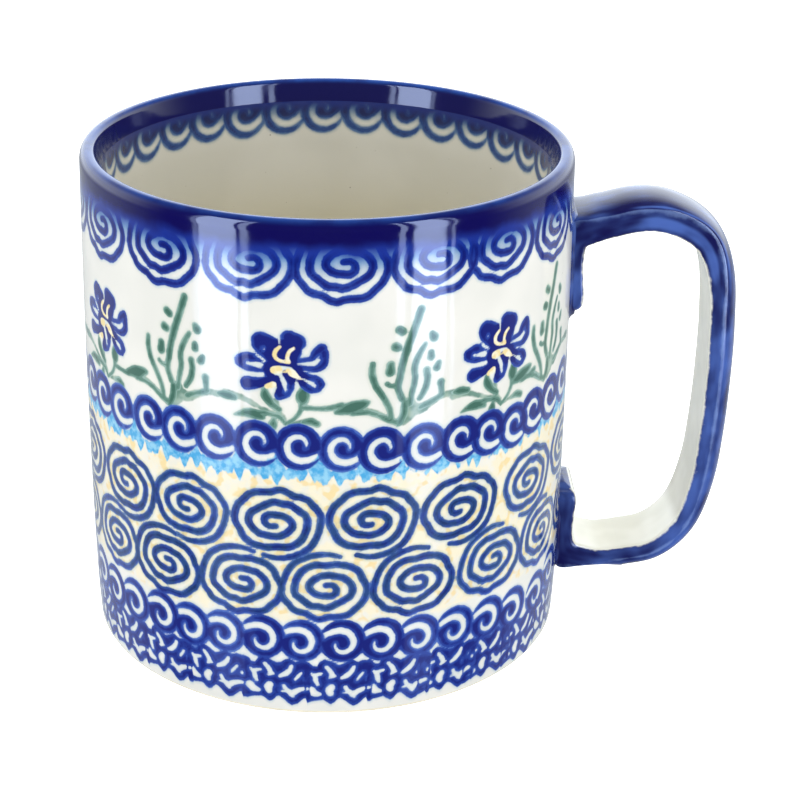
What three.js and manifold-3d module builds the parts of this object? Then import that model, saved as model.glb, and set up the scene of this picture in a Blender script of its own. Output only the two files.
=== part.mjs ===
// A hand-painted stoneware mug: a straight thrown cup with a foot ring, and a strap handle whose two
// ends carry upright feet. Each foot is stuck to the cup's wall by a thin pad of slip.
// Millimetres, +Z up. The cup stands on z = 0 and the handle points along +X.

import * as THREE from "three";
import { mergeVertices } from "three/addons/utils/BufferGeometryUtils.js";
import Module from "manifold-3d";

const wasm = await Module();
wasm.setup();

// ---------- driving dimensions ----------

const CUP_HEIGHT = 94;
const RIM_RADIUS = 45;
const FOOT_RADIUS = 44.3;
const WALL = 4;
const LIP_WIDTH = 2.8; // from the cup's outer face to the lip's inner edge
const LIP_HEIGHT = 3.4; // how far the rounding of the lip reaches down the outside
const FLOOR_Z = 6.5; // top of the cup's floor
const FLOOR_CORNER = 6; // radius between the floor and the wall, inside
const FOOT_ROUND = 1.4; // radius of the foot's outer edge
const RING_WIDTH = 5; // flat face of the foot ring
const RECESS = 1.6; // depth of the hollow inside the foot ring
const ROUND_SEGMENTS = 72;

const STRAP_WIDTH = 13.5;
const STRAP_THICKNESS = 5.4;
const STRAP_CROWN = 1.5; // how far the strap's outer face bulges in the middle
const STRAP_EDGE = 0.9; // how far the strap's inner corners are cut
const STRAP_STEPS = 36;

const FOOT_FACE_X = 47.5; // the face of each handle foot, measured from the cup's axis
const FOOT_BEVEL = 2.2; // slope at the free end of each handle foot
const UPPER_FOOT = { low: 62.3, high: 80 };
const LOWER_FOOT = { low: 12, high: 30.5 };

const GAP = 0.3; // between pieces that touch
const SLIP_THICKNESS = 0.5;
const SLIP_MARGIN = 0.9; // how far the slip is squeezed out round each foot
const SLIP_CORNER = 2.5;
const UPPER_SLIP_TOP = 82.8;
const LOWER_SLIP_BOTTOM = 9.6;

// The middle line of the strap, as distance from the cup's axis and height.
const STRAP_LINE = [
  [44.0, 78.6], [50.5, 80.2], [57.5, 81.8], [63.8, 81.1], [70.1, 77.2],
  [73.4, 69.6], [74.2, 59.0], [74.0, 48.0], [73.2, 37.0], [71.9, 27.5],
  [69.1, 18.8], [63.8, 13.5], [57.0, 11.7], [50.5, 11.8], [44.0, 12.8],
];

const slipInner = RIM_RADIUS + GAP;
const slipOuter = slipInner + SLIP_THICKNESS;
const handleInner = slipOuter + GAP;

// ---------- solids and booleans ----------

function toSolid(geometry) {
  const bare = geometry.clone();
  bare.deleteAttribute("normal");
  bare.deleteAttribute("uv");
  const merged = mergeVertices(bare, 1e-4);
  return new wasm.Manifold(new wasm.Mesh({
    numProp: 3,
    vertProperties: new Float32Array(merged.attributes.position.array),
    triVerts: new Uint32Array(merged.index.array),
  }));
}

function toGeometry(solid) {
  const mesh = solid.getMesh();
  const geometry = new THREE.BufferGeometry();
  geometry.setAttribute("position", new THREE.BufferAttribute(mesh.vertProperties, 3));
  geometry.setIndex(new THREE.BufferAttribute(mesh.triVerts, 1));
  geometry.computeVertexNormals();
  return geometry;
}

// A profile of [radius, height] points, turned about the vertical axis.
function turned(points) {
  const profile = points.map(([radius, height]) => new THREE.Vector2(radius, height));
  return new THREE.LatheGeometry(profile, ROUND_SEGMENTS).rotateX(Math.PI / 2);
}

// A quarter turn of an ellipse from angle to angle, in degrees, as [radius, height] points.
function arcPoints(centre, radii, from, to, steps) {
  return Array.from({ length: steps + 1 }, (_, step) => {
    const angle = THREE.MathUtils.degToRad(from + ((to - from) * step) / steps);
    return [centre[0] + radii[0] * Math.cos(angle), centre[1] + radii[1] * Math.sin(angle)];
  });
}

// An outline drawn in x and z, drawn out along y to both sides of the middle.
function slabFromSide(outline, width) {
  const shape = new THREE.Shape(outline.map(([x, z]) => new THREE.Vector2(x, z)));
  const slab = new THREE.ExtrudeGeometry(shape, { depth: width, bevelEnabled: false });
  return slab.translate(0, 0, -width / 2).rotateX(Math.PI / 2);
}

// ---------- the cup ----------

function cupGeometry() {
  const innerRadius = RIM_RADIUS - WALL;
  const lipEdge = RIM_RADIUS - LIP_WIDTH;
  const ringOuter = FOOT_RADIUS - FOOT_ROUND;
  const ringInner = ringOuter - RING_WIDTH;
  const wallStart = CUP_HEIGHT - LIP_HEIGHT;
  const lipTop = lipEdge + 0.5;
  return turned([
    [0, RECESS],
    [ringInner - RECESS, RECESS],
    [ringInner, 0],
    ...arcPoints([ringOuter, FOOT_ROUND], [FOOT_ROUND, FOOT_ROUND], -90, 0, 4),
    [RIM_RADIUS - 0.25, 9],
    [RIM_RADIUS, 20],
    ...arcPoints([lipTop, wallStart], [RIM_RADIUS - lipTop, LIP_HEIGHT], 0, 90, 5),
    [lipEdge, CUP_HEIGHT - 0.5],
    [lipEdge - 0.4, CUP_HEIGHT - 3],
    [innerRadius, CUP_HEIGHT - 14],
    ...arcPoints([innerRadius - FLOOR_CORNER, FLOOR_Z + FLOOR_CORNER], [FLOOR_CORNER, FLOOR_CORNER], 0, -90, 4),
    [0, FLOOR_Z],
  ]);
}

// ---------- the handle ----------

// Flat towards the fingers, gently crowned on the outside. The section's second axis points inwards.
function strapSection() {
  const half = STRAP_WIDTH / 2;
  const inside = STRAP_THICKNESS / 2;
  const shoulder = STRAP_CROWN - inside;
  const shape = new THREE.Shape();
  shape.moveTo(-half, inside - STRAP_EDGE);
  shape.lineTo(-half, shoulder);
  shape.quadraticCurveTo(-half, -inside + 0.3, -half * 0.5, -inside);
  shape.lineTo(half * 0.5, -inside);
  shape.quadraticCurveTo(half, -inside + 0.3, half, shoulder);
  shape.lineTo(half, inside - STRAP_EDGE);
  shape.lineTo(half - STRAP_EDGE, inside);
  shape.lineTo(-half + STRAP_EDGE, inside);
  return shape;
}

function strapSolid() {
  const line = new THREE.CatmullRomCurve3(
    STRAP_LINE.map(([x, z]) => new THREE.Vector3(x, 0, z)), false, "centripetal");
  return toSolid(new THREE.ExtrudeGeometry(strapSection(), {
    steps: STRAP_STEPS, extrudePath: line, curveSegments: 3,
  }));
}

// An upright plate against the wall; its free end slopes back to the wall.
function footSolid({ low, high }, bevelAtLow) {
  const slopeLow = bevelAtLow ? FOOT_BEVEL : 0;
  const slopeHigh = bevelAtLow ? 0 : FOOT_BEVEL;
  const back = RIM_RADIUS - 1;
  const corner = handleInner - 0.6;
  return toSolid(slabFromSide([
    [back, low], [corner, low], [FOOT_FACE_X, low + slopeLow],
    [FOOT_FACE_X, high - slopeHigh], [corner, high], [back, high],
  ], STRAP_WIDTH));
}

function handleGeometry() {
  const wallSpace = toSolid(turned([
    [0, -5], [handleInner, -5], [handleInner, CUP_HEIGHT + 5], [0, CUP_HEIGHT + 5],
  ]));
  return toGeometry(strapSolid()
    .add(footSolid(UPPER_FOOT, true))
    .add(footSolid(LOWER_FOOT, false))
    .subtract(wallSpace));
}

// ---------- the slip joints ----------

// A thin curved pad between the wall and a foot, with rounded corners.
function slipGeometry(low, high) {
  const sleeve = toSolid(turned([
    [slipInner, low], [slipOuter, low], [slipOuter, high], [slipInner, high], [slipInner, low],
  ]));
  const half = STRAP_WIDTH / 2 + SLIP_MARGIN;
  const turn = half - SLIP_CORNER;
  const outline = [
    ...arcPoints([turn, high - SLIP_CORNER], [SLIP_CORNER, SLIP_CORNER], 0, 90, 4),
    ...arcPoints([-turn, high - SLIP_CORNER], [SLIP_CORNER, SLIP_CORNER], 90, 180, 4),
    ...arcPoints([-turn, low + SLIP_CORNER], [SLIP_CORNER, SLIP_CORNER], 180, 270, 4),
    ...arcPoints([turn, low + SLIP_CORNER], [SLIP_CORNER, SLIP_CORNER], 270, 360, 4),
  ];
  const stamp = slabFromSide(outline, FOOT_FACE_X).rotateZ(Math.PI / 2).translate(RIM_RADIUS, 0, 0);
  return toGeometry(sleeve.intersect(toSolid(stamp)));
}

// ---------- assembly ----------

const painted = new THREE.MeshStandardMaterial({ color: 0xf2f0e6, roughness: 0.12, metalness: 0 });
const cobalt = new THREE.MeshStandardMaterial({ color: 0x232a80, roughness: 0.12, metalness: 0 });
const slip = new THREE.MeshStandardMaterial({ color: 0x2c3a96, roughness: 0.2, metalness: 0 });

function piece(name, geometry, material) {
  const mesh = new THREE.Mesh(geometry, material);
  mesh.name = name;
  return mesh;
}

const mug = new THREE.Group();
mug.add(piece("mug_body", cupGeometry(), painted));
mug.add(piece("handle", handleGeometry(), cobalt));
mug.add(piece("upper_slip_joint", slipGeometry(UPPER_FOOT.low - SLIP_MARGIN, UPPER_SLIP_TOP), slip));
mug.add(piece("lower_slip_joint", slipGeometry(LOWER_SLIP_BOTTOM, LOWER_FOOT.high + SLIP_MARGIN), slip));

// The origin is on the surface that the mug stands on, under the middle of its bounding box.
const middle = new THREE.Box3().setFromObject(mug, true).getCenter(new THREE.Vector3());
mug.position.x = -middle.x;

export default mug;
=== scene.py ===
"""A hand-painted stoneware mug on a plain white floor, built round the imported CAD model.

The cup is one turned surface, cut into bands so that each band's paint stays fine. Every painted motif
is a short formula or a few brush strokes. Each vertex stores how deep inside a motif it lies, in
millimetres, and the materials turn those depths into pigment under the glaze.
"""
import math

import bpy
import numpy as np
from mathutils import Matrix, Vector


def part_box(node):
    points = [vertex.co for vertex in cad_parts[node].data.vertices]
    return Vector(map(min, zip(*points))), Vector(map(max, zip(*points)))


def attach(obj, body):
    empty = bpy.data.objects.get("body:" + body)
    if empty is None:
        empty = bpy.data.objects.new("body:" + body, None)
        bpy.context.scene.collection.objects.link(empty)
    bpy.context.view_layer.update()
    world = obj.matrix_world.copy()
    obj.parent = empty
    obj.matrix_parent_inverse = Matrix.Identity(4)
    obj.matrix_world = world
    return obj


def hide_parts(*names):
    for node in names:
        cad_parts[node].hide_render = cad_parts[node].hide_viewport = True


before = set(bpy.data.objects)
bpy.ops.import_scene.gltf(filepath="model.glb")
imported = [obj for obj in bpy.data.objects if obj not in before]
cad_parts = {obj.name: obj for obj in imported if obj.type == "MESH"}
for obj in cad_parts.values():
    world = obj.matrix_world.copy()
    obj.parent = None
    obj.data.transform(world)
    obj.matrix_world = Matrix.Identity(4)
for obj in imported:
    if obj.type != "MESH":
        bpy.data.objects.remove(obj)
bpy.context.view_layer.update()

MM = 0.001

# ---------------------------------------------------------------- driving dimensions, in millimetres

cup_low, cup_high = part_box("mug_body")
AXIS_X = (cup_low.x + cup_high.x) / 2 / MM
RIM_RADIUS = (cup_high.y - cup_low.y) / 2 / MM
HEIGHT = (cup_high.z - cup_low.z) / MM

FOOT_ROUND = 0.9  # radius of the foot's outer edge
FOOT_TAPER = 0.5  # how far the wall draws in towards the foot
TAPER_REACH = 7.0  # height over which most of that taper is lost
WALL_SWELL = 0.4  # how far the wall swells at half height
RECESS = 1.6  # depth of the hollow inside the foot ring
RING_INNER = 37.9  # radius of the foot ring's inner edge
GLAZE_LINE = 0.25  # the ring's clay is bare below this height
LIP_HEIGHT = 2.1  # how far the rounding of the lip reaches down the outside
LIP_EDGE = 42.2  # radius of the lip's inner edge
LIP_INNER_ROUND = (1.0, 0.8)  # radii of that edge's rounding, across and up
LIP_CROWN = LIP_EDGE + 1.5  # radius of the lip's highest ring
LEDGE = (41.5, 90.3)  # where the lip's inner slope meets the wall: radius and height
INNER_RADIUS = 41.0
FLOOR_Z = 6.5  # top of the cup's floor
FLOOR_CORNER = 6.0  # radius between the floor and the wall, inside
UNEVEN = 0.02  # how far the thrown clay strays from a true circle

# How fine the meshes are: the distance between rows, and the columns round each turned surface.
ROW_STEP = 0.35
LIP_STEP = 0.22
INSIDE_STEP = 0.4
FOOT_STEP = 0.5
OUTER_COLUMNS = 800
INNER_COLUMNS = 640
PLAIN_COLUMNS = 240
PAINT_ENDS_INSIDE = 76.0  # below this height the inside has no paint, and its rows are wider apart

# Where the wall is cut into bands: the heights between the lace, spiral, meadow and scroll bands.
BAND_CUTS = (19.6, 57.6, 78.6)

STRAP_HALF_WIDTH = 6.75
STRAP_INSIDE = 2.7  # from the middle line to the flat inner face
STRAP_OUTSIDE = 3.0  # and to the top of the crown
STRAP_CROWN = 3.3  # how far the outer face bulges above its flanks
STRAP_STEP = 0.8  # distance between the strap's cross-sections
STRAP_POINTS = 72  # and the number of points in each
STRAP_TURN = (38.0, 60.0)  # the stretch of the strap over which its flanks grow narrower
FLANKS = (0.78, 0.45, 0.95)  # a flank's share of the thickness: above, down the outside, at the feet
WALL_BACK = 44.0  # how far the handle's feet reach into the wall, from the axis

# The middle line of the strap, as distance from the cup's axis and height.
STRAP_LINE = [
    (50.5, 80.2), (57.5, 81.8), (63.8, 81.1), (70.1, 77.2), (73.2, 69.6), (74.1, 59.0), (74.1, 48.0),
    (73.6, 36.9), (72.5, 27.3), (69.7, 18.5), (64.2, 13.0), (57.0, 11.25),
]
# Each foot, from its free end to the strap: a point on the face towards the fingers, then one on the back.
UPPER_FOOT = [
    ((45.2, 62.3), (WALL_BACK, 62.0)), ((46.5, 63.5), (WALL_BACK, 62.9)), ((47.3, 64.7), (WALL_BACK, 64.2)),
    ((47.5, 66.5), (WALL_BACK, 66.2)), ((47.25, 69.5), (WALL_BACK, 69.3)), ((47.1, 73.0), (WALL_BACK, 72.8)),
    ((47.3, 75.4), (WALL_BACK, 75.8)), ((47.6, 76.2), (WALL_BACK, 79.0)), ((48.3, 76.5), (44.6, 81.6)),
    ((49.6, 77.0), (47.4, 82.3)),
]
LOWER_FOOT = [
    ((46.0, 26.6), (WALL_BACK, 26.6)), ((47.2, 26.1), (WALL_BACK, 26.2)), ((48.0, 25.2), (WALL_BACK, 25.3)),
    ((48.2, 23.9), (WALL_BACK, 23.8)), ((48.0, 21.9), (WALL_BACK, 21.4)), ((47.8, 18.6), (WALL_BACK, 17.2)),
    ((47.9, 16.3), (WALL_BACK, 13.4)), ((48.6, 14.9), (44.8, 9.8)), ((50.4, 14.2), (48.6, 9.3)),
    ((53.2, 13.6), (52.6, 8.8)),
]
SLIP_WIDTH = 1.1  # how far the slip round each foot spreads over the wall
SLIP_HEIGHT = 1.0  # how far it stands off the wall beside the foot
SLIP_CORNER = 2.2  # corner radius of its outline
# The heights between which each bead of slip lies. The lower one's top is rounder and left unpainted.
UPPER_SLIP = dict(low=62.2, high=82.0)
LOWER_SLIP = dict(low=9.9, high=25.6, bare_above=24.6, top_corner=5.8)

# ---------------------------------------------------------------- the painted rows

# Stamps are pressed by hand. The ones in front are placed as found, by degrees from the front and by
# height, and the rest of each ring is filled evenly at about the row's pitch.
SCROLLS = dict(pitch=20.0, placed=[
    (-60.4, 86.4), (-38.4, 86.5), (-16.9, 86.95), (3.35, 86.95), (24.2, 87.0), (42.1, 86.8), (63.0, 86.1),
])
FLOWERS = dict(pitch=51.4, placed=[(-59.6, 65.9), (-9.0, 66.5), (41.9, 65.4)])
PLANTS = dict(pitch=51.4, placed=[(-36.0, 68.0), (16.5, 67.6), (60.0, 67.3)])
UPPER_CURLS = dict(pitch=9.0, placed=[
    (-63.0, 52.9), (-54.0, 53.1), (-43.7, 53.6), (-34.5, 53.6), (-25.3, 53.8), (-15.5, 53.8),
    (-6.3, 53.75), (3.1, 53.4), (11.9, 52.8), (21.6, 52.6), (30.7, 52.5), (38.6, 52.1), (46.7, 51.5),
    (54.2, 52.3), (62.9, 52.5),
])
UPPER_SPIRALS = dict(pitch=21.2, placed=[
    (-52.6, 38.4), (-32.7, 38.7), (-11.4, 38.6), (9.8, 39.0), (31.1, 38.6), (53.8, 38.4),
])
LOWER_SPIRALS = dict(pitch=20.0, placed=[
    (-58.7, 26.4), (-39.6, 26.7), (-19.5, 26.9), (-0.3, 26.8), (20.2, 26.7), (41.4, 26.6), (61.2, 26.2),
])
LOWER_CURLS = dict(pitch=9.0, placed=[
    (-61.1, 13.7), (-51.5, 14.2), (-41.6, 14.9), (-32.9, 14.7), (-24.0, 15.2), (-14.7, 15.5),
    (-5.8, 15.3), (3.6, 15.3), (12.5, 15.1), (21.4, 14.7), (30.8, 14.5), (40.5, 13.9), (49.4, 13.2),
    (60.5, 12.7),
])
LACE = dict(pitch=14.4, placed=[
    (-57.0, 4.7), (-42.7, 5.2), (-28.7, 5.4), (-13.4, 5.4), (0.8, 5.4), (14.9, 5.4), (27.4, 5.2),
    (39.7, 4.8), (52.0, 4.3),
])
# Inside the rim, an even ring.
INNER_CURLS = dict(pitch=11.25, placed=[(102.8, 87.9)])
INNER_SCALE = 1.06  # the inside curls are a little larger than the outside ones
FRINGE_TOP, FRINGE_LOW = 53.5, 47.6  # heights of the blue fringe under the upper curls
FRINGE_TEETH = [(131, 0.7, 0.0), (79, 0.6, 0.3), (31, 0.3, 0.0)]  # how many round the cup, how long, shift
SAND_LOW = 19.5  # the yellow ground of the spirals reaches from here up into the fringe
SPIRAL_WIDTH, SCROLL_WIDTH = 0.64, 0.66  # half widths of the stamped lines

DRY = -9.0  # depth where there is no paint at all

rng = np.random.default_rng(7)


def smoothstep(low, high, value):
    share = np.clip((value - low) / (high - low), 0, 1)
    return share * share * (3 - 2 * share)


# ---------------------------------------------------------------- motifs: depth inside a shape, in mm

def stroke(x, y, points, widths):
    """A brush stroke through the points, with a half width at each."""
    depth = np.full(x.shape, DRY)
    for (ax, ay), (bx, by), wa, wb in zip(points, points[1:], widths, widths[1:]):
        dx, dy = bx - ax, by - ay
        along = np.clip(((x - ax) * dx + (y - ay) * dy) / (dx * dx + dy * dy), 0, 1)
        reach = np.hypot(x - ax - along * dx, y - ay - along * dy)
        depth = np.maximum(depth, wa + (wb - wa) * along - reach)
    return depth


def curve(points, widths, steps=6):
    """A smooth line through the points, as more points and their half widths."""
    knots = np.array([(*p, w) for p, w in zip(points, widths)], float)
    padded = np.vstack([2 * knots[0] - knots[1], knots, 2 * knots[-1] - knots[-2]])
    out = []
    for a, b, c, d in zip(padded, padded[1:], padded[2:], padded[3:]):
        for s in np.arange(steps) / steps:
            out.append(0.5 * (2 * b + (c - a) * s + (2 * a - 5 * b + 4 * c - d) * s**2
                              + (3 * b - a - 3 * c + d) * s**3))
    out.append(knots[-1])
    out = np.array(out)
    return [tuple(p) for p in out[:, :2]], list(out[:, 2])


def brush(x, y, points, widths):
    return stroke(x, y, *curve(points, widths))


# The stamped spiral, from its middle outwards, lying as in the lower row.
SPIRAL = [
    (0.0, 0.25), (1.1, 0.35), (1.85, -0.3), (1.8, -1.3), (1.0, -1.85), (0.0, -1.85), (-1.2, -1.75),
    (-2.3, -1.2), (-2.95, -0.3), (-2.7, 0.7), (-1.8, 1.55), (-0.8, 2.1), (0.5, 2.3), (1.7, 2.1), (2.9, 1.9),
    (3.9, 1.15), (4.6, 0.2), (4.75, -0.8), (4.3, -1.9), (3.4, -2.6), (2.3, -3.3), (1.2, -3.9), (0.0, -4.35),
    (-1.2, -4.0), (-2.3, -4.05), (-3.3, -3.5), (-4.2, -2.75), (-5.2, -1.95), (-5.5, -0.9), (-5.4, 0.3),
    (-5.0, 1.6), (-4.3, 2.8), (-3.4, 3.6), (-2.1, 4.2), (-0.9, 4.25), (0.2, 4.25), (1.5, 4.5), (2.8, 4.35),
    (3.9, 4.15), (5.0, 3.6), (5.9, 2.7), (6.4, 1.5), (7.0, 0.5), (7.3, -0.7), (7.0, -2.2), (6.4, -3.4),
    (5.3, -4.5), (4.3, -5.5), (3.0, -6.0), (1.6, -6.1), (0.4, -6.2), (-0.9, -6.7), (-2.2, -6.3), (-3.3, -5.6),
    (-4.5, -5.4), (-5.7, -4.9), (-6.4, -4.0), (-7.3, -3.0), (-7.8, -1.7), (-7.7, -0.5), (-7.5, 0.6),
    (-7.1, 1.9), (-6.5, 3.2), (-5.6, 4.4), (-4.3, 5.3), (-3.0, 5.9), (-1.5, 6.3), (0.0, 6.45), (1.3, 6.25),
    (2.3, 6.0),
]


def spiral(x, y, width):
    """The spiral stamp: a wide stroke, blunt at its start and thin at its tail."""
    share = np.linspace(0, 1, len(SPIRAL))
    widths = width * (0.84 + 0.2 * smoothstep(0.0, 0.06, share) - 0.08 * smoothstep(0.5, 0.9, share)
                      - 0.3 * smoothstep(0.93, 1.0, share))
    return stroke(x, y, *curve(SPIRAL, list(widths), 2))


# The bare hook inside each stamped disc: lower right, round the left, over the top and in.
HOOK = [
    (3.6, -1.45), (2.4, -2.15), (1.1, -2.55), (0.1, -2.55), (-1.05, -2.0), (-1.7, -1.1), (-1.9, -0.1),
    (-1.6, 0.95), (-0.75, 1.75), (0.25, 1.9), (1.05, 1.45), (1.42, 0.65), (1.3, -0.05),
]
HOOK_WIDTHS = [0.52, 0.62, 0.68, 0.7, 0.7, 0.66, 0.62, 0.58, 0.54, 0.5, 0.42, 0.3, 0.14]
DISC = (4.15, 4.35)


def whole_disc(x, y, drop):
    distance = np.hypot(x / DISC[0], (y + drop) / DISC[1])
    return (1 - distance) * min(DISC)


def curl_disc(x, y, drop):
    """A disc of pigment, a little lower than its middle, with the hook left bare."""
    return np.minimum(whole_disc(x, y, drop), -brush(x, y, HOOK, HOOK_WIDTHS))


PETALS = [
    ([(-1.6, 3.2), (-2.9, 4.8), (-3.8, 6.0)], [0.8, 1.7, 1.8]),
    ([(-3.9, 6.3), (-1.9, 6.15)], [1.75, 1.0]),
    ([(0.8, 7.0), (2.2, 6.4)], [1.45, 1.5]),
    ([(1.5, 6.2), (1.6, 4.4), (1.3, 2.8)], [1.7, 1.2, 0.9]),
    ([(0.3, 6.6), (-0.3, 4.6), (-0.5, 3.6)], [0.9, 0.7, 0.7]),
    ([(1.8, 2.9), (3.2, 3.2), (4.5, 3.5), (5.4, 4.6), (6.3, 5.25)], [0.4, 0.4, 0.45, 0.8, 0.9]),
    ([(1.8, 2.0), (3.4, 1.7), (5.2, 1.6), (6.5, 2.6), (6.55, 4.6)], [0.5, 0.45, 0.55, 0.75, 0.8]),
    ([(2.4, 0.9), (3.8, 0.2), (5.3, -0.3), (5.8, -1.2)], [0.5, 0.55, 0.65, 0.8]),
    ([(2.6, -0.5), (3.1, -1.4), (4.2, -2.1), (5.3, -1.9)], [0.5, 0.6, 0.7, 0.8]),
    ([(-1.4, -0.2), (-1.0, -1.8), (-1.1, -3.3)], [0.45, 0.45, 0.85]),
    ([(0.0, 0.8), (0.8, -0.6), (0.8, -1.8), (0.1, -2.9)], [0.5, 0.6, 0.6, 0.75]),
    ([(-1.1, -3.35), (0.1, -2.9)], [0.85, 0.75]),
    ([(-2.2, -0.3), (-4.2, -1.1), (-6.6, -1.45)], [0.6, 0.85, 1.3]),
    ([(-2.9, 2.6), (-4.4, 3.2), (-6.2, 3.3), (-7.7, 2.7)], [0.5, 0.6, 0.9, 1.0]),
    ([(-3.2, 1.3), (-5.2, 1.2), (-6.8, 1.6), (-7.7, 2.4)], [0.5, 0.5, 0.7, 1.0]),
    ([(-2.2, 2.6), (-0.4, 2.6), (1.2, 2.4), (2.3, 1.6)], [0.65, 0.5, 0.55, 0.65]),
    ([(-2.9, 2.3), (-2.9, 0.6), (-2.0, -0.3)], [0.75, 0.65, 0.6]),
    ([(0.4, 0.4), (1.3, -0.3)], [0.45, 0.45]),
]
PETAL_SLITS = [
    ([(2.1, 2.45), (4.3, 2.5), (5.7, 3.2)], [0.22, 0.35, 0.36]),
    ([(2.7, -0.1), (3.9, -0.8), (4.9, -1.5)], [0.15, 0.34, 0.36]),
    ([(-0.9, 0.2), (-0.4, -1.0), (0.0, -2.4)], [0.3, 0.34, 0.3]),
    ([(-6.5, 2.25), (-4.1, 1.6)], [0.33, 0.28]),
    ([(-3.4, 2.8), (-4.7, 3.8)], [0.28, 0.34]),
    ([(-0.8, 7.4), (-0.7, 5.6)], [0.25, 0.22]),
    ([(-3.55, 5.05), (-3.5, 5.0)], [0.22, 0.22]),
]
FLOWER_HEART = [
    ([(-0.9, 5.5), (-1.7, 4.6), (-1.8, 3.7), (-1.2, 3.1), (-0.2, 2.8), (0.6, 2.75)],
     [0.28, 0.38, 0.36, 0.34, 0.27, 0.3]),
    ([(0.6, 2.8), (0.35, 3.6), (0.7, 4.7), (1.4, 5.3)], [0.34, 0.34, 0.34, 0.3]),
    ([(-1.9, 1.2), (-1.2, 1.3)], [0.7, 0.75]),
    ([(0.4, 1.4), (1.2, 0.8), (2.2, 0.1), (2.8, -0.2)], [0.3, 0.66, 0.3, 0.12]),
    ([(-0.3, 1.0), (0.3, 1.1)], [0.2, 0.22]),
    ([(-3.2, -1.9), (-2.1, -1.5)], [0.45, 0.6]),
]


def flower(x, y):
    petals = np.maximum.reduce([brush(x, y, *petal) for petal in PETALS])
    bare = np.maximum.reduce([brush(x, y, *slit) for slit in PETAL_SLITS])
    return np.minimum(petals, -bare)


def flower_heart(x, y):
    return np.maximum.reduce([brush(x, y, *mark) for mark in FLOWER_HEART])


# The leaves and vine round a flower, measured from the flower's middle.
VINE = [
    ([(-3.6, -2.5), (-3.4, -3.6), (-2.4, -5.0), (-1.1, -6.0)], [0.5, 0.85, 0.7, 0.5]),
    ([(3.0, -2.5), (2.9, -3.6), (2.9, -4.9)], [0.9, 1.15, 0.35]),
    ([(2.6, -4.6), (2.5, -6.0), (1.6, -7.4), (0.4, -8.3)], [0.4, 0.4, 0.35, 0.3]),
    ([(2.9, -5.4), (5.5, -5.5), (7.4, -5.4), (9.4, -4.9)], [0.45, 0.42, 0.5, 0.6]),
    ([(-9.0, -7.8), (-7.0, -7.2), (-5.4, -7.2), (-3.9, -7.7)], [0.15, 0.75, 0.9, 0.45]),
    ([(-5.6, -6.7), (-3.0, -6.9), (-1.0, -7.4), (0.0, -8.6)], [0.4, 0.4, 0.45, 0.3]),
    ([(-2.0, -7.9), (-2.2, -8.9), (-2.4, -9.6)], [0.4, 0.8, 0.5]),
    ([(2.8, -8.1), (4.2, -7.9), (5.3, -8.3)], [0.25, 0.65, 0.55]),
]
VINE_WASH = [
    ([(-10.5, -4.2), (-8.0, -4.4), (-6.0, -5.1), (-3.5, -6.3), (-1.0, -7.0)], [0.9, 0.6, 0.5, 0.45, 0.4]),
    ([(-1.8, -4.6), (-1.1, -6.4), (-0.2, -7.6)], [0.7, 0.45, 0.4]),
    ([(0.4, -8.5), (2.4, -8.1), (4.2, -7.9), (5.3, -8.4)], [0.25, 0.4, 0.7, 0.65]),
]
# Measured from the middle of the plant.
PLANT = [
    ([(-0.2, -5.6), (-1.0, -3.4), (-0.6, -1.2), (-0.2, 1.0), (0.7, 4.0), (1.8, 7.0), (2.95, 10.4)],
     [0.6, 0.6, 0.62, 0.65, 0.72, 0.68, 0.7]),
    ([(-1.2, -3.1), (-2.3, -2.9), (-2.9, -2.5)], [0.42, 0.4, 0.42]),
    ([(-2.0, -9.2), (-2.5, -7.0), (-3.6, -4.8), (-4.9, -2.6), (-5.5, -0.4), (-5.4, 1.3)],
     [0.42, 0.52, 0.55, 0.6, 0.6, 0.5]),
    ([(1.2, -6.6), (1.5, -4.6), (2.0, -2.2), (1.9, 0.0), (2.6, 2.0), (3.8, 4.0)],
     [0.5, 0.5, 0.55, 0.58, 0.56, 0.42]),
    ([(2.9, -5.8), (3.9, -4.2), (4.3, -2.4), (4.1, -0.8)], [0.5, 0.58, 0.6, 0.62]),
    ([(7.0, -5.6), (6.9, -4.2), (6.85, -3.5)], [0.5, 0.58, 0.72]),
    ([(-0.85, 7.1), (-0.3, 6.7)], [0.75, 0.75]),
    ([(-1.5, 4.1), (-1.1, 3.9)], [0.8, 0.75]),
    ([(-2.3, 0.9), (-2.4, -0.4)], [0.72, 0.85]),
    ([(5.0, 5.7), (5.4, 5.0)], [0.55, 0.85]),
    ([(4.9, 2.2), (4.9, 1.5)], [0.62, 0.7]),
    ([(6.4, 0.2), (6.0, -0.6)], [0.5, 0.72]),
    ([(0.2, -6.4), (0.1, -8.2), (-0.6, -9.8), (-1.0, -10.4)], [0.6, 0.7, 0.6, 0.25]),
    ([(-0.8, -9.9), (-2.6, -9.2), (-4.4, -8.1), (-6.4, -7.5), (-8.8, -7.6)], [0.5, 0.5, 0.5, 0.45, 0.4]),
    ([(-11.4, -7.2), (-9.2, -6.6), (-7.0, -5.9), (-6.0, -5.6)], [0.5, 1.15, 0.85, 0.3]),
    ([(3.0, -7.6), (5.2, -6.7), (7.2, -5.8)], [0.42, 0.45, 0.5]),
    ([(9.2, -5.9), (10.6, -5.9), (12.2, -6.1)], [0.25, 0.75, 0.6]),
]
PLANT_WASH = [
    ([(1.0, -6.8), (1.2, -8.2), (0.2, -9.8)], [1.4, 1.2, 0.7]),
    ([(1.4, -7.4), (3.2, -7.7), (5.2, -6.8), (7.4, -6.0), (9.6, -6.0)], [1.2, 1.0, 0.72, 0.6, 0.6]),
    ([(-1.0, -9.9), (-2.8, -9.0), (-4.6, -7.9), (-6.6, -7.2), (-9.0, -7.4)], [0.6, 0.62, 0.62, 0.62, 0.6]),
]

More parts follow.
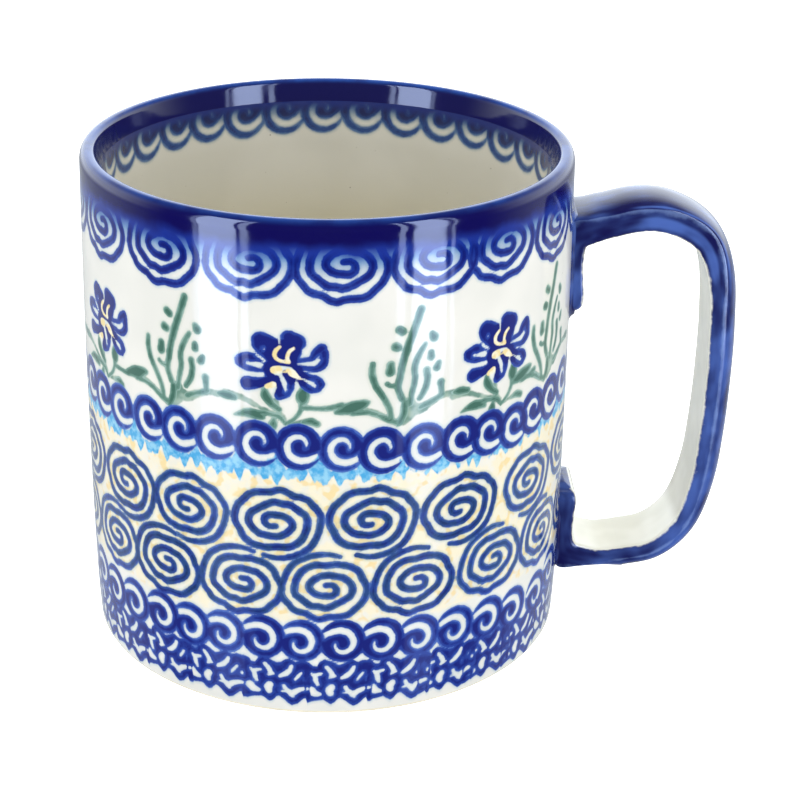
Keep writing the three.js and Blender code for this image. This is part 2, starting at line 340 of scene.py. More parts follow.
LACE_REPEAT = 11.31  # length of one repeat along the wall
LACE_ENDS = (-4.7, 7.5)  # where one repeat starts and stops, from its egg-shaped mark
# The bare marks inside one repeat of the lace, measured from the egg-shaped one.
LACE_MARKS = [
    ([(0.2, 0.6), (-0.2, -0.1), (0.0, -0.8)], [0.62, 0.74, 0.52]),
    ([(-3.6, 0.0), (-3.0, -0.6), (-2.0, -0.9)], [0.8, 0.72, 0.38]),
    ([(-3.4, 3.5), (-2.8, 2.9), (-2.6, 1.9), (-2.3, 1.2)], [0.24, 0.42, 0.42, 0.3]),
    ([(-2.9, 3.2), (-1.6, 3.5)], [0.34, 0.26]),
    ([(-0.7, 4.9), (0.0, 4.0), (0.4, 3.1)], [0.34, 0.42, 0.48]),
    ([(-0.1, 2.65), (0.9, 3.0)], [0.24, 0.22]),
    ([(4.2, 4.8), (3.8, 3.9), (3.0, 3.1), (2.1, 2.6)], [0.34, 0.44, 0.48, 0.34]),
    ([(5.9, 3.5), (5.3, 2.7), (4.8, 2.0)], [0.22, 0.28, 0.18]),
    ([(6.9, 2.4), (6.9, 2.2)], [0.28, 0.26]),
    ([(2.7, 0.6), (3.1, -0.2), (3.8, -0.8), (4.3, -1.5)], [0.34, 0.4, 0.5, 0.34]),
    ([(2.3, -0.6), (3.4, -0.5)], [0.16, 0.3]),
    ([(4.1, -1.1), (5.1, -0.3), (6.5, 0.2), (7.1, 0.2)], [0.56, 0.52, 0.38, 0.24]),
]
LACE_HEM = [
    (-4.4, -2.8), (-3.1, -2.3), (-1.3, -2.0), (-0.7, -2.5), (0.0, -3.0), (0.7, -2.6), (1.3, -1.8),
    (1.9, -1.6), (2.5, -2.1), (3.3, -2.9), (4.1, -3.5), (5.1, -3.1), (5.8, -2.3), (6.5, -1.7),
    (6.9, -1.8), (7.1, -2.8),
]
LACE_TOP = [
    (-3.2, 5.0), (-2.4, 5.0), (-2.0, 5.9), (-1.1, 6.5), (0.2, 6.0), (1.0, 5.6), (1.6, 5.3), (2.2, 5.5),
    (3.1, 6.1), (3.9, 6.4), (4.9, 5.7), (5.9, 6.1), (6.9, 6.0), (7.7, 5.6), (8.3, 5.0),
]


def lace(x, y):
    """One repeat of the lace: a band with a wavy top and hem, broken by its bare marks."""
    top = np.interp(x, *zip(*LACE_TOP), period=LACE_REPEAT)
    hem = np.interp(x, *zip(*LACE_HEM), period=LACE_REPEAT)
    band = np.minimum(top - y, y - hem) * 0.8
    band = np.minimum(band, 4 * np.minimum(x - LACE_ENDS[0], LACE_ENDS[1] - x))
    marks = np.maximum.reduce([brush(x, y, *mark) for mark in LACE_MARKS])
    return np.minimum(band, -0.08 - marks)


# ---------------------------------------------------------------- the unrolled wall

class Canvas:
    """A surface of the cup, unrolled: the angle from the front and the height of each vertex."""

    def __init__(self, angle, height, radius, inside=False):
        self.angle, self.height, self.radius = angle, height, radius
        self.hand = -1 if inside else 1
        self.fields = {}

    def field(self, name):
        return self.fields.setdefault(name, np.full(self.angle.shape, DRY))

    def local(self, degrees, height, turn=0.0, size=1.0):
        """Coordinates in mm from a place on the wall, x to the right as it is seen, turned and scaled."""
        away = np.angle(np.exp(1j * (self.angle - math.radians(degrees))))
        across, up = self.hand * away * self.radius, self.height - height
        c, s = math.cos(math.radians(turn)), math.sin(math.radians(turn))
        return (across * c + up * s) / size, (up * c - across * s) / size

    def stamp(self, name, motif, degrees, height, turn=0.0, size=1.0, reach=14.0, tone=None):
        """Adds a motif, up to reach mm wide each way, to a field. A tone says how dark its pigment is."""
        x, y = self.local(degrees, height, turn, size)
        near = (np.abs(x) < reach) & (np.abs(y) < reach)
        field = self.field(name)
        depth = motif(x[near], y[near])
        if tone is not None:
            tones = self.fields.setdefault("tone", np.full(self.angle.shape, 0.5))
            tones[near] = np.where(depth > np.maximum(field[near], -0.4), tone, tones[near])
        field[near] = np.maximum(field[near], depth)


def around(row, wander=0.0):
    """Angle and height of every stamp in a row: the placed ones, then the rest of the ring."""
    placed = row["placed"]
    gap = 360 - (placed[-1][0] - placed[0][0])
    spaces = round(gap / row["pitch"])
    level = sum(height for _, height in placed) / len(placed)
    filled = [(placed[-1][0] + gap * k / spaces + rng.uniform(-wander, wander),
               level + rng.uniform(-wander, wander)) for k in range(1, spaces)]
    return placed + filled


def paint_spirals(canvas, row, turn, width, tone=0.0):
    """A ring of stamped spirals, no two quite alike."""
    for degrees, height in around(row, 0.5):
        canvas.stamp("cobalt", lambda x, y: spiral(x, y, width), degrees, height, turn + rng.uniform(-3, 3),
                     rng.uniform(0.99, 1.02), 9.5, tone + rng.uniform(0.25, 0.75))


def paint_curls(canvas, row, turn, drop, scale=1.0):
    """A ring of stamped discs with a curl in each. Other colours keep off a stamped disc."""
    for degrees, height in around(row, 0.35):
        lean, size = turn + rng.uniform(-6, 6), scale * rng.uniform(0.98, 1.02)
        canvas.stamp("cobalt", lambda x, y: curl_disc(x, y, drop), degrees, height, lean, size, 5.5,
                     rng.uniform(0.3, 0.9))
        canvas.stamp("resist", lambda x, y: whole_disc(x, y, drop), degrees, height, lean, size, 5.5)


def paint_meadow(canvas):
    """The flowers, with the vine and leaves round each, and the plants between them."""
    for degrees, height in around(FLOWERS, 0.4):
        canvas.stamp("cobalt", flower, degrees, height, rng.uniform(-2, 2), 1.0, 10.0, 0.8)
        canvas.stamp("sun", flower_heart, degrees, height, 0.0, 1.0, 7.0)
        for name, lines in (("leaf", VINE), ("wash", VINE_WASH)):
            for line in lines:
                canvas.stamp(name, lambda x, y: brush(x, y, *line), degrees, height, 0.0, 1.0, 13.0)
    for degrees, height in around(PLANTS, 0.4):
        for name, lines in (("leaf", PLANT), ("wash", PLANT_WASH)):
            for line in lines:
                canvas.stamp(name, lambda x, y: brush(x, y, *line), degrees, height, 0.0, 1.0, 14.0)


def zigzag(value):
    """A triangle wave of period 1, from -1 to 1."""
    return 4 * np.abs(value - np.floor(value + 0.5)) - 1


def paint_fringe(canvas):
    """The blue under the upper curls, with a ragged lower edge."""
    along = canvas.angle / (2 * math.pi)
    edge = FRINGE_LOW + sum(size * zigzag(along * count + shift) for count, size, shift in FRINGE_TEETH)
    canvas.fields["sky"] = np.minimum(canvas.height - edge, FRINGE_TOP - canvas.height)


def paint_sand(canvas):
    canvas.fields["sand"] = np.minimum(canvas.height - SAND_LOW, FRINGE_LOW + 0.6 - canvas.height)


def paint_lace(canvas):
    """The lace, watery in the middle of its wider parts."""
    before = canvas.field("cobalt").copy()
    canvas.field("cobalt")[:] = DRY
    for degrees, height in around(LACE, 0.3):
        canvas.stamp("cobalt", lace, degrees, height, rng.uniform(-2, 2), 1.0, 8.0)
    fresh = canvas.field("cobalt").copy()
    watery = 0.75 - 0.9 * smoothstep(0.45, 1.1, fresh)
    canvas.fields["tone"] = np.where(fresh > before, watery, canvas.fields["tone"])
    canvas.fields["cobalt"] = np.maximum(fresh, before)


def paint_outside(angle, height):
    canvas = Canvas(angle, height, RIM_RADIUS)
    paint_spirals(canvas, SCROLLS, 0, SCROLL_WIDTH, 0.3)
    paint_meadow(canvas)
    paint_spirals(canvas, UPPER_SPIRALS, 180, SPIRAL_WIDTH)
    paint_spirals(canvas, LOWER_SPIRALS, 0, SPIRAL_WIDTH)
    paint_curls(canvas, UPPER_CURLS, 0, 0.0)
    paint_curls(canvas, LOWER_CURLS, 180, 0.4)
    paint_lace(canvas)
    paint_fringe(canvas)
    paint_sand(canvas)
    stamped = canvas.fields.pop("resist")
    for name in ("sky", "leaf", "wash"):
        canvas.fields[name] = np.minimum(canvas.fields[name], 0.1 - stamped)
    return canvas.fields


def paint_inside(angle, height):
    canvas = Canvas(angle, height, INNER_RADIUS, inside=True)
    paint_curls(canvas, INNER_CURLS, 20, 0.0, INNER_SCALE)
    canvas.fields.pop("resist")
    return canvas.fields


# ---------------------------------------------------------------- meshes

def mesh_piece(name, points, faces, normals=None, values=None):
    """An object from points in mm, with vertex values for its material."""
    mesh = bpy.data.meshes.new(name)
    faces = np.asarray(faces)
    size = faces.shape[1]
    mesh.vertices.add(len(points))
    mesh.vertices.foreach_set("co", (np.asarray(points) * MM).astype(np.float32).ravel())
    mesh.loops.add(faces.size)
    mesh.loops.foreach_set("vertex_index", faces.astype(np.int32).ravel())
    mesh.polygons.add(len(faces))
    mesh.polygons.foreach_set("loop_start", np.arange(0, faces.size, size, dtype=np.int32))
    mesh.update(calc_edges=True)
    mesh.validate()
    mesh.shade_smooth()
    if normals is not None:
        mesh.normals_split_custom_set_from_vertices(normals.reshape(-1, 3))
    for key, value in (values or {}).items():
        layer = mesh.attributes.new(key, "FLOAT", "POINT")
        layer.data.foreach_set("value", np.asarray(value, np.float32).ravel())
    piece = bpy.data.objects.new(name, mesh)
    bpy.context.scene.collection.objects.link(piece)
    return piece


def ring_faces(rows, columns):
    """Quads of a grid that closes on itself sideways."""
    row, column = np.meshgrid(np.arange(rows - 1), np.arange(columns), indexing="ij")
    beside = (column + 1) % columns
    return np.stack([row * columns + column, row * columns + beside,
                     (row + 1) * columns + beside, (row + 1) * columns + column], -1).reshape(-1, 4)


def settle(piece, slot, material, *nodes):
    """Gives a finished piece its material, hangs it on the root and hides the CAD parts it takes the place
    of.
    """
    piece.data.materials.append(material)
    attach(piece, "root")
    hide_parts(*nodes)
    return piece


def arc(centre, radii, start, end, steps):
    angles = np.radians(np.linspace(start, end, steps))
    return np.stack([centre[0] + radii[0] * np.cos(angles), centre[1] + radii[1] * np.sin(angles)], -1)


def length_along(points):
    """How far along a line each of its points lies."""
    return np.concatenate([[0], np.cumsum(np.hypot(*np.diff(points, axis=0).T))])


def placed_along(points, length, places):
    """Where a line, with its points at these lengths, passes each of the places."""
    return np.stack([np.interp(places, length, column) for column in np.transpose(points)], -1)


def resampled(points, step):
    """The same line with evenly spaced points and its corners eased."""
    length = length_along(points)
    even = np.linspace(0, length[-1], max(3, round(length[-1] / step) + 1))
    line = placed_along(points, length, even)
    for _ in range(2):
        line[1:-1] = (line[:-2] + 2 * line[1:-1] + line[2:]) / 4
    return line


RIPPLES = [(rng.integers(2, 26), rng.uniform(0.02, 0.35), rng.uniform(0, 2 * math.pi), rng.uniform(0.3, 1))
           for _ in range(14)]


def surface(profile, columns):
    """A profile of radius and height turned about the axis, with the small unevenness of thrown clay."""
    angle = np.linspace(-math.pi, math.pi, columns, endpoint=False)
    radius, height = profile[:, :1], profile[:, 1:]
    wobble = sum(size / (1 + n / 8) * np.cos(n * angle[None] + k * height + phase)
                 for n, k, phase, size in RIPPLES)
    share = UNEVEN * smoothstep(0, 8, radius)
    radius = radius - share * (1.5 + wobble / 2.2)
    points = np.stack([AXIS_X + radius * np.sin(angle), -radius * np.cos(angle),
                       np.broadcast_to(height, radius.shape)], -1)
    along = np.gradient(points, axis=0)
    beside = np.roll(points, -1, 1) - np.roll(points, 1, 1)
    normals = np.cross(beside, along)
    normals /= np.linalg.norm(normals, axis=-1, keepdims=True) + 1e-12
    return points, normals, np.broadcast_to(angle, radius.shape), np.broadcast_to(height, radius.shape)


def outer_radius(height):
    swell = WALL_SWELL * np.sin(math.pi * height / HEIGHT)
    return RIM_RADIUS + swell - FOOT_TAPER * np.exp(-height / TAPER_REACH)


def band_piece(name, grid, fields, keep, slot, material, *nodes):
    """A piece from some rows of a turned surface."""
    points, normals = grid[0][keep], grid[1][keep]
    values = {key: value[keep] for key, value in fields.items()}
    piece = mesh_piece(name, points.reshape(-1, 3), ring_faces(*points.shape[:2]), normals, values)
    return settle(piece, slot, material, *nodes)


def build_outside(material):
    """The wall from the foot's edge over the lip to the ledge inside, cut into bands."""
    top = HEIGHT - LIP_HEIGHT
    heights = np.linspace(FOOT_ROUND, top, round((top - FOOT_ROUND) / ROW_STEP) + 1)
    wall = np.stack([outer_radius(heights), heights], -1)
    inner_round = (LIP_EDGE + LIP_INNER_ROUND[0], HEIGHT - LIP_INNER_ROUND[1])
    lip = resampled(np.vstack([
        wall[-6:-1],
        arc((LIP_CROWN, top), (outer_radius(top) - LIP_CROWN, LIP_HEIGHT), 0, 90, 40),
        arc(inner_round, LIP_INNER_ROUND, 90, 175, 12),
        [LEDGE],
        [(LEDGE[0] - 0.08, LEDGE[1] - 0.4)],
    ]), LIP_STEP)
    lip = lip[(lip[:, 1] > top) | (lip[:, 0] < LIP_CROWN)]
    profile = np.vstack([wall, lip])
    grid = surface(profile, OUTER_COLUMNS)
    fields = paint_outside(grid[2], grid[3])
    along = length_along(profile)
    corner = np.argmin(np.abs(profile - (LIP_EDGE, inner_round[1])).sum(axis=1))
    fields["lip"] = np.broadcast_to((along[corner] - along)[:, None], grid[3].shape)
    for key in ("cobalt", "leaf", "wash", "sun", "sky", "sand"):
        fields[key][len(wall):] = DRY
    cuts = [0, *(int(np.argmin(np.abs(heights - cut))) for cut in BAND_CUTS), len(wall), len(profile)]
    names = ["wall_lace_band", "wall_spiral_band", "wall_meadow_band", "wall_scroll_band", "lip"]
    for name, low, high in zip(names, cuts, cuts[1:]):
        band_piece(name, grid, fields, slice(low, high + 1), "painted_glaze", material, "mug_body")
    return profile[-1]


def disc_piece(name, profile, columns, slot, material, values, *nodes):
    """A turned surface whose profile ends on the axis. The values are worked out from angle and height."""
    points, normals, angle, height = surface(profile[:-1], columns)
    rows = len(points)
    middle = [AXIS_X, 0, profile[-1, 1]]
    quads = ring_faces(rows, columns)
    last = (rows - 1) * columns + np.arange(columns)
    fan = np.stack([last, np.roll(last, -1), np.full(columns, rows * columns)], -1)
    triangles = np.vstack([quads[:, [0, 1, 2]], quads[:, [0, 2, 3]], fan])
    flat = np.vstack([points.reshape(-1, 3), [middle]])
    upright = math.copysign(1, normals[-1, 0, 2])
    stacked = np.vstack([normals.reshape(-1, 3), [[0, 0, upright]]])
    full = {key: np.append(value.ravel(), value.ravel()[-1]) for key, value in values(angle, height).items()}
    return settle(mesh_piece(name, flat, triangles, stacked, full), slot, material, *nodes)


def build_inside(material, start):
    """The inside, from where the lip's piece ends down to the floor and its middle."""
    corner_z = FLOOR_Z + FLOOR_CORNER
    corner = arc((INNER_RADIUS - FLOOR_CORNER, corner_z), (FLOOR_CORNER, FLOOR_CORNER), 0, -90, 16)
    wall = resampled(np.vstack([
        [start, (INNER_RADIUS, 82.0), (INNER_RADIUS, corner_z)],
        corner[1:],
    ]), INSIDE_STEP)
    deep = wall[:, 1] < PAINT_ENDS_INSIDE
    wall = np.vstack([wall[~deep], wall[deep][::3], wall[-1:]])
    grid = surface(wall, INNER_COLUMNS)
    fields = paint_inside(grid[2], grid[3])
    band_piece("interior_wall", grid, fields, slice(None), "cream_glaze", material, "mug_body")
    floor = np.stack([np.linspace(wall[-1, 0], 0, 40), np.full(40, FLOOR_Z)], -1)
    disc_piece("interior_floor", floor, PLAIN_COLUMNS, "cream_glaze", material,
               lambda angle, height: {"cobalt": np.full(angle.shape, DRY)}, "mug_body")


def build_foot(material):
    """The foot's rounded edge, its flat ring and the hollow inside it."""
    outer = outer_radius(FOOT_ROUND) - FOOT_ROUND
    profile = resampled(np.vstack([
        arc((outer, FOOT_ROUND), (FOOT_ROUND, FOOT_ROUND), 0, -90, 12),
        [(RING_INNER + 0.4, 0.0), (RING_INNER, GLAZE_LINE), (RING_INNER - 1.4, RECESS), (0, RECESS)],
    ]), FOOT_STEP)
    far = profile[:, 0] < RING_INNER - 3
    profile = np.vstack([profile[~far], profile[far][::3], [[0, RECESS]]])
    disc_piece("foot_ring", profile, PLAIN_COLUMNS, "bare_stoneware", material,
               lambda angle, height: {"glazed": height - GLAZE_LINE}, "mug_body")


# ---------------------------------------------------------------- the handle

def strap_stations():
    """Points along the handle's inner and outer face, from one foot's free end to the other's."""
    line, _ = curve(STRAP_LINE, [0] * len(STRAP_LINE), 12)
    line = resampled(line, STRAP_STEP)
    ahead = np.gradient(line, axis=0)
    ahead /= np.linalg.norm(ahead, axis=1, keepdims=True)
    outward = np.stack([-ahead[:, 1], ahead[:, 0]], -1)
    strap = [(tuple(p - n * STRAP_INSIDE), tuple(p + n * STRAP_OUTSIDE)) for p, n in zip(line, outward)]
    knots = UPPER_FOOT + strap + LOWER_FOOT[::-1]
    inner, _ = curve([k[0] for k in knots], [0] * len(knots), 4)
    outer, _ = curve([k[1] for k in knots], [0] * len(knots), 4)
    return np.array(inner), np.array(outer)


def strap_section():
    """Half width across and share of the thickness: flat inside, crowned outside, corners eased."""
    w, t, c = STRAP_HALF_WIDTH, STRAP_INSIDE + STRAP_OUTSIDE, STRAP_CROWN
    turn = np.linspace(0, math.pi, 61)
    crown = np.stack([w * np.cos(turn), t - c + c * np.sin(turn)], -1)
    loop = np.vstack([[(0, 0), (w, 0)], crown, [(-w, 0), (0, 0)]])
    length = length_along(loop)
    even = np.linspace(0, length[-1], 4 * STRAP_POINTS, endpoint=False)
    fine = placed_along(loop, length, even)
    for _ in range(12):
        fine = (np.roll(fine, 1, 0) + 2 * fine + np.roll(fine, -1, 0)) / 4
    section = fine[::4]
    section[:, 1] = (section[:, 1] - section[:, 1].min()) / np.ptp(section[:, 1])
    section[:, 0] *= w / np.abs(section[:, 0]).max()
    return section


def with_flank(share, flank):
    """The section with its ridge, where flank and crown meet, moved to the given share of the thickness."""
    ridge = 1 - STRAP_CROWN / (STRAP_INSIDE + STRAP_OUTSIDE)
    above = flank + (share - ridge) * (1 - flank) / (1 - ridge)
    return np.where(share < ridge, share * flank / ridge, above)


def build_handle(material):
    """The strap with its feet: cross-sections along the stations, closed at both free ends."""
    inner, outer = strap_stations()
    section = strap_section()
    rows, columns = len(inner), len(section)
    station = np.arange(rows)
    left = rows - 1 - station
    # Both feet narrow to a rounded tongue at their free ends, the lower one more.
    width = 0.5 + 0.5 * np.sqrt(smoothstep(-1, 9, station))
    width = np.minimum(width, 0.3 + 0.7 * np.sqrt(smoothstep(-1, 11, left)))
    along = length_along((inner + outer) / 2)
    across = width[:, None] * section[None, :, 0]
    from_foot = np.minimum(along, along[-1] - along)
    flank = FLANKS[0] + (FLANKS[1] - FLANKS[0]) * smoothstep(*STRAP_TURN, along)
    flank = flank + (FLANKS[2] - flank) * smoothstep(24, 15, from_foot)
    share = with_flank(section[None, :, 1], flank[:, None])
    x = inner[:, :1] + (outer[:, :1] - inner[:, :1]) * share
    z = inner[:, 1:] + (outer[:, 1:] - inner[:, 1:]) * share
    points = np.stack([AXIS_X + x, across, z], -1)
    thick = np.linalg.norm(outer - inner, axis=1)[:, None]
    # The face towards the fingers is left cream; the cobalt laps over its edges and over the feet's ends.
    bare = 0.55 + 0.3 * smoothstep(60, 80, along) - 0.3 * smoothstep(96, 104, along)
    edge = np.minimum(bare[:, None] - share * thick, 0.3 * (np.minimum(station, left)[:, None] - 4))
    edge = np.minimum(edge, STRAP_HALF_WIDTH * width[:, None] - 0.10 - np.abs(across))
    side = STRAP_INSIDE + STRAP_OUTSIDE - STRAP_CROWN
    inward = np.abs(np.abs(across) - STRAP_HALF_WIDTH)
    ridge = 1.0 - np.abs(section[None, :, 1] * thick - side) - 0.8 * inward
    values = {
        "pale": edge,
        "ridge": ridge,
        "along": np.broadcast_to(along[:, None], x.shape),
        "across": np.broadcast_to(across, x.shape),
    }
    flat = points.reshape(-1, 3)
    quads = ring_faces(rows, columns)
    triangles = np.vstack([quads[:, [0, 1, 2]], quads[:, [0, 2, 3]]])
    first_cap = [(0, k + 1, k) for k in range(1, columns - 1)]
    base = (rows - 1) * columns
    last_cap = [(base, base + k, base + k + 1) for k in range(1, columns - 1)]
    triangles = np.vstack([triangles, first_cap, last_cap])
    piece = mesh_piece("handle_strap", flat, triangles, None, values)
    settle(piece, "cobalt_glaze", material, "handle")


def slip_outline(low, high, top_corner):
    """A rounded upright rectangle on the wall, as points across and up, with their outward directions."""
    corners = [(1, 1, top_corner), (-1, 1, top_corner), (-1, -1, SLIP_CORNER), (1, -1, SLIP_CORNER)]
    points, outward = [], []
    for k, (side, end, corner) in enumerate(corners):
        cx = side * (STRAP_HALF_WIDTH - corner)
        cz = high - corner if end > 0 else low + corner
        for angle in np.radians(np.linspace(90 * k, 90 * k + 90, 10)):
            outward.append((math.cos(angle), math.sin(angle)))
            points.append((cx + corner * math.cos(angle), cz + corner * math.sin(angle)))
    points, outward = points + points[:1], outward + outward[:1]
    length = length_along(points)
    even = np.linspace(0, length[-1], 160, endpoint=False)
    return placed_along(points, length, even), placed_along(outward, length, even)


def build_slip(name, node, material, low, high, bare_above=HEIGHT, top_corner=SLIP_CORNER):
    """The slip squeezed out round a foot: a bead with a hollow face, left unpainted above some height."""
    middle, outward = slip_outline(low, high, top_corner)
    spread = np.linspace(0, 1, 9)
    face = np.stack([-0.25 + (SLIP_WIDTH + 0.25) * spread, SLIP_HEIGHT * (1 - spread) ** 2.2 - 0.03], -1)
    section = np.vstack([[(-1.2, -0.5), (-1.2, SLIP_HEIGHT)], face, [(SLIP_WIDTH, -0.5)]])
    across = middle[None, :, 0] + outward[None, :, 0] * section[:, :1]
    up = middle[None, :, 1] + outward[None, :, 1] * section[:, :1]
    reach = outer_radius(up) + section[:, 1:]
    points = np.stack([AXIS_X + np.sqrt(reach ** 2 - across ** 2), across, up], -1)
    rows, columns = points.shape[:2]
    quads = ring_faces(rows + 1, columns) % (rows * columns)
    values = {"pale": 0.6 * (up.ravel() - bare_above), "ridge": np.full(rows * columns, DRY),
              "along": up.ravel(), "across": across.ravel()}
    settle(mesh_piece(name, points.reshape(-1, 3), quads, None, values), "glazed_slip", material, node)


# ---------------------------------------------------------------- materials

def srgb(text):
    """A colour written as six hex digits, as linear numbers."""
    parts = [int(text[k:k + 2], 16) / 255 for k in (0, 2, 4)]
    return tuple(p / 12.92 if p <= 0.04045 else ((p + 0.055) / 1.055) ** 2.4 for p in parts) + (1.0,)


SPREAD = 0.08  # how far the pigments spread past their strokes, in mm


class Nodes:
    """The nodes of a material or of the world, with one short method for each kind used often."""

    def __init__(self, owner, empty=False):
        owner.use_nodes = True
        self.owner = owner
        self.tree = owner.node_tree
        if empty:
            self.tree.nodes.clear()
        else:
            self.shader = self.tree.nodes["Principled BSDF"]
        self.place = self.add("TexCoord")["Object"]

    def feed(self, node, inputs):
        """Sets or links a node's inputs."""
        for key, value in inputs.items():
            if isinstance(value, bpy.types.NodeSocket):
                self.tree.links.new(value, node.inputs[key])
            else:
                node.inputs[key].default_value = value

    def add(self, kind, inputs=None, **settings):
        """A new node, given back as its outputs."""
        node = self.tree.nodes.new("ShaderNode" + kind)
        for name, value in settings.items():
            setattr(node, name, value)
        self.feed(node, inputs or {})
        return node.outputs

    def value(self, name):
        return self.add("Attribute", attribute_name=name)["Fac"]

    def math(self, operation, *values):
        return self.add("Math", dict(enumerate(values)), operation=operation)[0]

    def times(self, a, b):
        return self.math("MULTIPLY", a, b)

    def ramp(self, value, low, high, to_low=0.0, to_high=1.0):
        inputs = {"Value": value, "From Min": low, "From Max": high, "To Min": to_low, "To Max": to_high}
        return self.add("MapRange", inputs, interpolation_type="SMOOTHSTEP")[0]

    def mix(self, share, a, b, kind="MIX"):
        return self.add("Mix", {0: share, 6: a, 7: b}, data_type="RGBA", blend_type=kind)[2]

    def height(self):
        """Height above the ground, in mm."""
        return self.times(self.add("SeparateXYZ", {0: self.place})[2], 1 / MM)

    def noise(self, size, detail=2.0, stretch=None):
        """Noise whose lumps are about size mm across."""
        place = self.place
        if stretch:
            place = self.add("Mapping", {"Vector": place, "Scale": stretch})[0]
        return self.add("TexNoise", {"Vector": place, "Scale": 1 / (size * MM), "Detail": detail})["Fac"]

    def ragged(self, depth, amount, *grain, more=0.0):
        """A depth made uneven by noise, by half the amount each way, and greater by more."""
        middle = self.math("SUBTRACT", depth, amount / 2 - more)
        return self.math("MULTIPLY_ADD", self.noise(*grain), amount, middle)

    def mottle(self, one, other, size, detail=2.0, low=0.35, high=0.65):
        """Two colours in soft blotches."""
        return self.mix(self.ramp(self.noise(size, detail), low, high), srgb(one), srgb(other))

    def specks(self, base, text, size, radius, share, strength):
        """Round specks over base: cells about size mm apart, of which only a share holds one."""
        cells = self.add("TexVoronoi", {"Vector": self.place, "Scale": 1 / (size * MM)})
        chosen = self.math("LESS_THAN", self.add("SeparateColor", {0: cells["Color"]})[0], share)
        spot = self.ramp(cells["Distance"], radius / size, 0.45 * radius / size)
        return self.mix(self.times(self.times(chosen, spot), strength), base, srgb(text))

    def bump(self, height, distance):
        bumped = self.add("Bump", {"Height": height, "Distance": distance * MM})[0]
        self.feed(self.shader, {"Normal": bumped})


def gloss(nodes, roughness, waviness):
    """A smooth glaze: nearly mirror-like, a little uneven, slightly wavy."""
    uneven = nodes.ramp(nodes.noise(5.0), 0.3, 0.7, roughness, roughness + 0.05)
    nodes.feed(nodes.shader, {"IOR": 1.5, "Roughness": uneven})
    slow = nodes.noise(7.0, 1.0)
    fine = nodes.noise(1.1, 2.0)
    nodes.bump(nodes.math("MULTIPLY_ADD", fine, 0.1, slow), waviness)


def pigment(nodes, base, depth, wobble, soft, colours, tone, thinning):
    """One pigment over base: a faint bleed outside its strokes, paler at their edges, deeper inside."""
    edge = nodes.ragged(depth, wobble, 0.9, 3.0, more=SPREAD)
    cover = nodes.ramp(edge, -soft, soft)
    body = nodes.ramp(nodes.math("ADD", edge, tone), 0.0, thinning)
    bleed, pale, middle, deep = colours
    colour = nodes.mix(nodes.ramp(body, 0.0, 0.3), pale, middle)
    colour = nodes.mix(nodes.ramp(body, 0.45, 1.0), colour, deep)
    base = nodes.mix(nodes.ramp(edge, -0.65, 0.05, 0.0, 0.6), base, bleed, "MULTIPLY")
    return nodes.mix(cover, base, colour)


